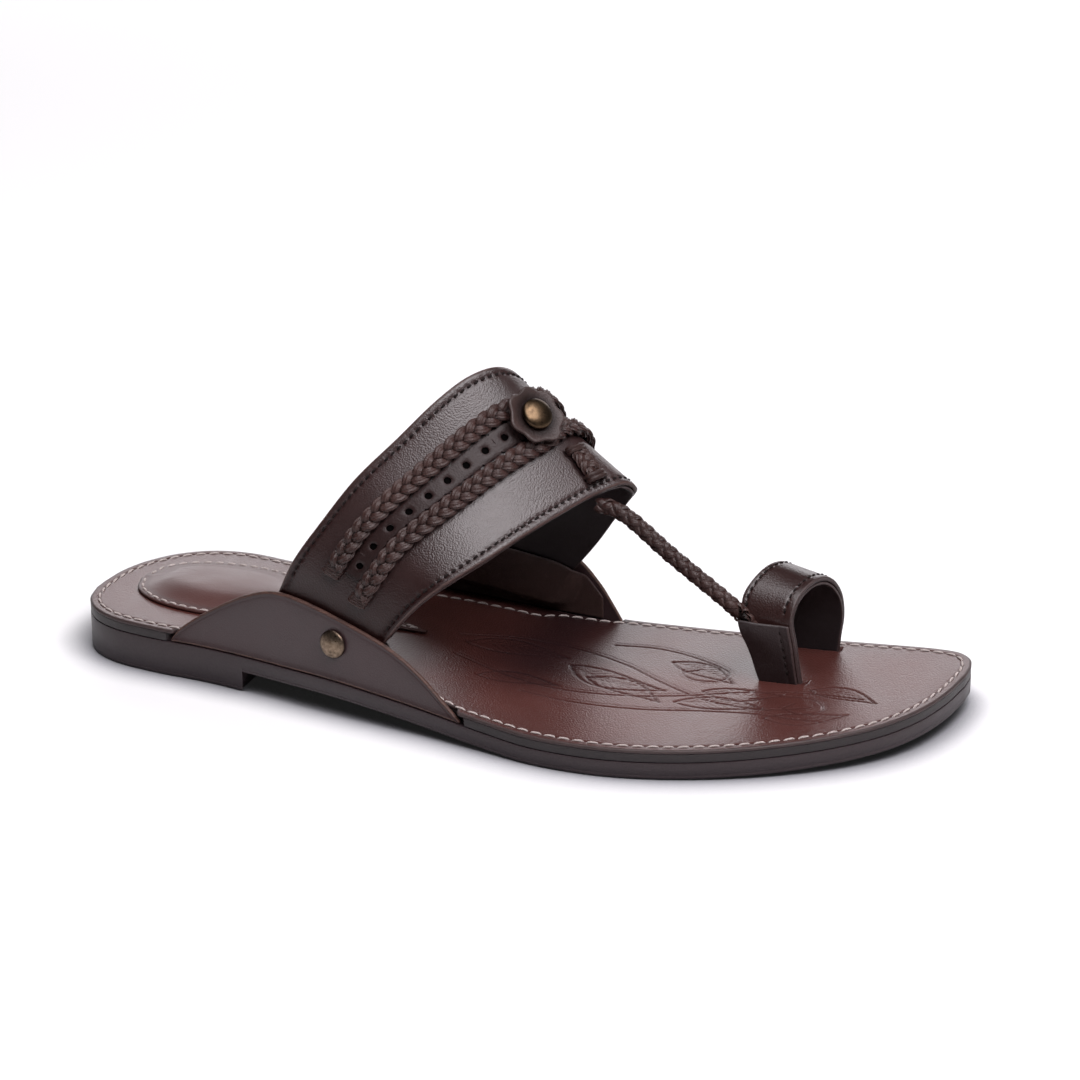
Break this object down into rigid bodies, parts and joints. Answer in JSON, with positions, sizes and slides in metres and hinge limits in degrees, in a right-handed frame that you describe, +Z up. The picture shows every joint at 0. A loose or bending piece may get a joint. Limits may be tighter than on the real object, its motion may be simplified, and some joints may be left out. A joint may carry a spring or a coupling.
{
  "type": "leather toe-loop sandal",
  "caption": "Right-foot leather sandal with a wide instep band riveted into side flaps, two braids, a stud-mounted flower and a toe loop tied by a braided cord.",
  "frame": {"origin": "middle of the underside of the bounding box, on the ground", "axes": "+X from heel to toe, +Y towards the medial (big toe) side, +Z up"},
  "size_m": [0.29, 0.1058, 0.1046],
  "materials": {
    "outsole_rubber": "moulded dark brown rubber, fine matt texture",
    "midsole_board": "dark stained leather board edge",
    "footbed_leather": "smooth reddish brown leather, burnished and tooled",
    "pad_foam": "soft open foam",
    "upper_leather": "dark brown full-grain leather, satin",
    "lining_leather": "black lining leather, matt",
    "braid_leather": "plaited dark brown leather lace",
    "sole_thread": "waxed pale thread",
    "upper_thread": "waxed dark brown thread",
    "brass_hardware": "antiqued brass"
  },
  "bodies": {
    "sandal": {"outsole": "outsole_rubber", "midsole": "midsole_board", "footbed_cover": "footbed_leather", "footbed_thread": "sole_thread", "heel_pad_foam": "pad_foam", "heel_pad_cover": "footbed_leather", "heel_pad_thread": "sole_thread", "lateral_flap": "upper_leather", "lateral_flap_lining": "lining_leather", "lateral_rivet_cap": "brass_hardware", "lateral_rivet_post": "brass_hardware", "medial_flap": "upper_leather", "medial_flap_lining": "lining_leather", "medial_rivet_cap": "brass_hardware", "medial_rivet_post": "brass_hardware", "vamp_band": "upper_leather", "vamp_lining": "lining_leather", "vamp_rear_thread": "upper_thread", "vamp_front_thread": "upper_thread", "rear_braid": "braid_leather", "rear_braid_lateral_binding": "upper_thread", "rear_braid_medial_binding": "upper_thread", "front_braid": "braid_leather", "front_braid_lateral_binding": "upper_thread", "front_braid_medial_binding": "upper_thread", "perforated_strip": "upper_leather", "flower_stud": "brass_hardware", "flower_stud_washer": "brass_hardware", "cord_keeper": "braid_leather", "keeper_rear_wrap": "braid_leather", "keeper_front_wrap": "braid_leather", "toe_loop": "upper_leather", "toe_loop_lining": "lining_leather", "toe_loop_rear_thread": "upper_thread", "toe_loop_front_thread": "upper_thread", "toe_post_patch": "upper_leather", "toe_post_thread": "upper_thread", "toe_cord": "braid_leather"},
    "flower": {"flower_rosette": "braid_leather"}
  },
  "joints": [
    {"name": "flower_turn", "type": "hinge", "parent": "sandal", "child": "flower", "pos_m": [0.0055, 0.00921, 0.08877], "axis": [0.6452, -0.4323, 0.63], "continuous": true}
  ]
}
